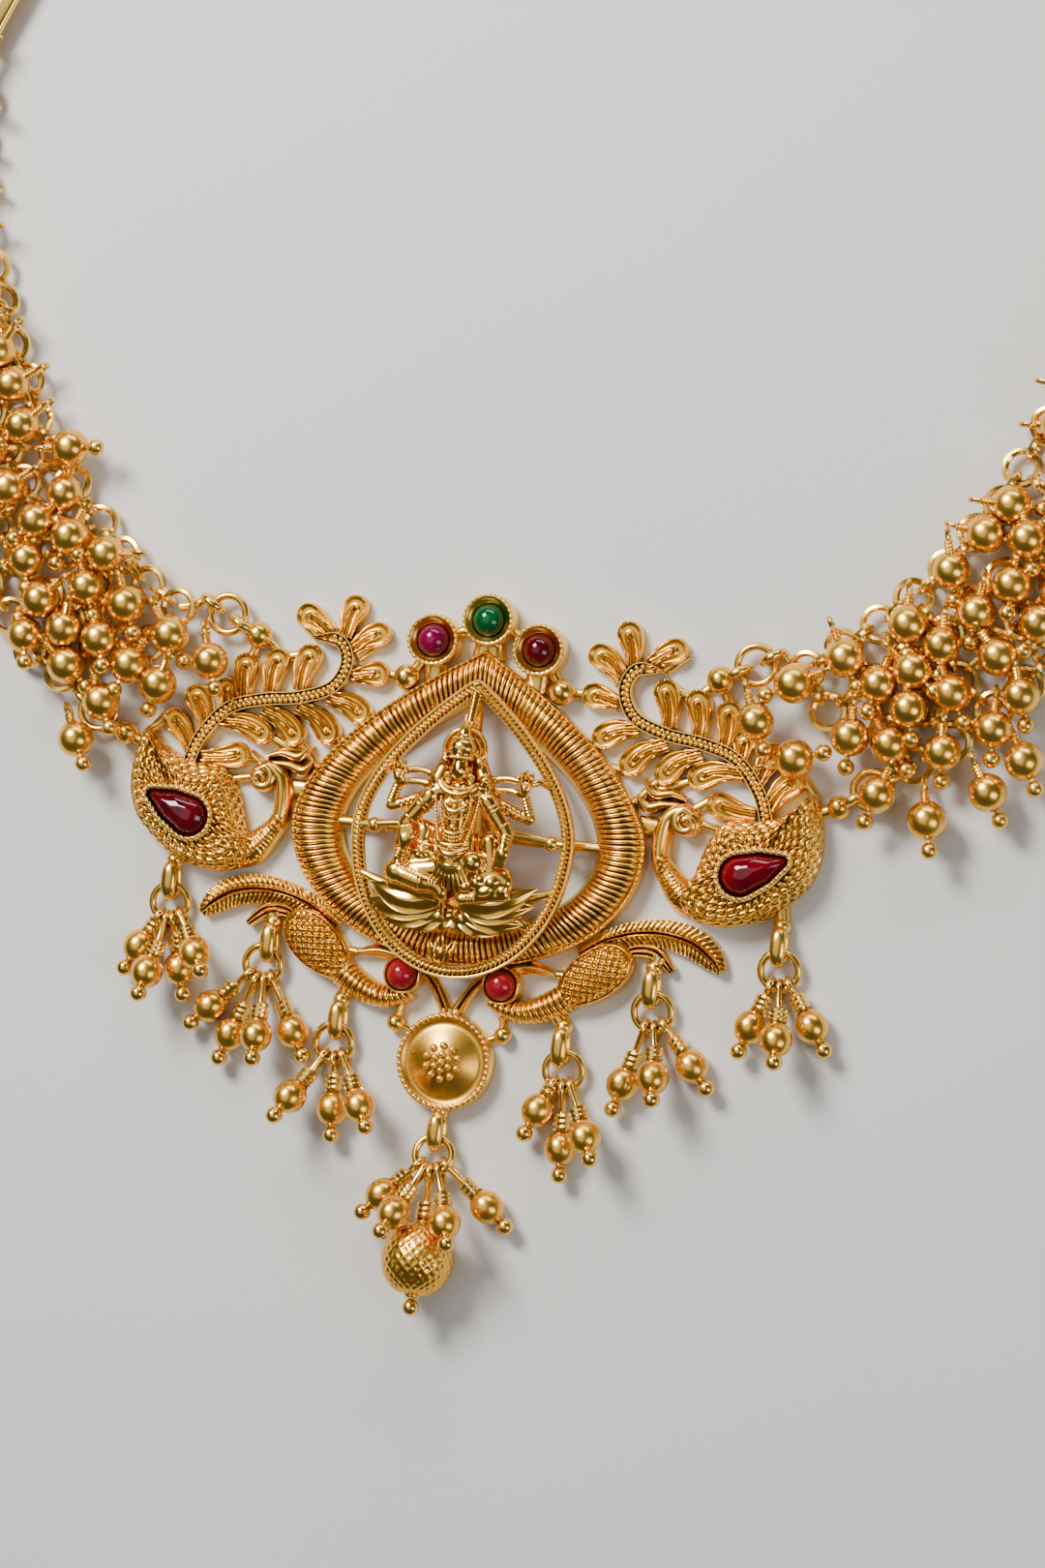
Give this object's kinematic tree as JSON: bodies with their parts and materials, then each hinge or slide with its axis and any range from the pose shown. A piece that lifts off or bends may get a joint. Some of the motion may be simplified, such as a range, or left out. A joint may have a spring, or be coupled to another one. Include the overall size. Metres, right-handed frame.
{
  "type": "temple jewellery necklace",
  "caption": "Choker with a cast gold-toned pendant, a seated figure in a rope frame, cabochon stones, bead drops, mesh bands hung with beads and a plain back chain.",
  "frame": {"origin": "on the flat back of the pad behind the seated figure, the surface that the necklace lies on", "axes": "+X to the right in the picture, +Y up the pendant towards the clasp, +Z off the surface towards the viewer"},
  "size_m": [0.1542, 0.1854, 0.0093],
  "materials": {
    "cast_gold": "satin antique gold plate over a brass casting, darker in the recesses",
    "wire_gold": "bright satin gold plate over brass wire",
    "bead_gold": "matt gold plate over hollow-looking brass beads",
    "stone_green": "deep green glass cabochon over a foil",
    "stone_magenta": "magenta glass cabochon over a foil",
    "stone_red": "red glass cabochon over a foil",
    "stone_ruby": "deep ruby glass cabochon over a foil",
    "stone_pink": "opaque pinkish red paste, softly polished"
  },
  "bodies": {
    "root": {"pendant_frame": "cast_gold", "figure_medallion": "cast_gold", "stone_top_green": "stone_green", "stone_top_left": "stone_magenta", "stone_top_right": "stone_red", "stone_lower_left": "stone_pink", "stone_lower_right": "stone_pink", "stone_pear_left": "stone_ruby", "stone_pear_right": "stone_red", "left_outer_ring": "wire_gold", "left_outer_pins": "wire_gold", "left_outer_beads": "bead_gold", "left_middle_ring": "wire_gold", "left_middle_pins": "wire_gold", "left_middle_beads": "bead_gold", "left_inner_ring": "wire_gold", "left_inner_pins": "wire_gold", "left_inner_beads": "bead_gold", "centre_ring": "wire_gold", "centre_pins": "wire_gold", "centre_beads": "bead_gold", "centre_ball": "bead_gold", "right_inner_ring": "wire_gold", "right_inner_pins": "wire_gold", "right_inner_beads": "bead_gold", "right_middle_ring": "wire_gold", "right_middle_pins": "wire_gold", "right_middle_beads": "bead_gold", "right_outer_ring": "wire_gold", "right_outer_pins": "wire_gold", "right_outer_beads": "bead_gold", "band_left": "wire_gold", "band_right": "wire_gold", "link_left_upper": "wire_gold", "link_left_lower": "wire_gold", "link_right_upper": "wire_gold", "link_right_lower": "wire_gold", "back_chain_left": "wire_gold", "back_chain_right": "wire_gold", "clasp": "wire_gold"}
  },
  "joints": []
}
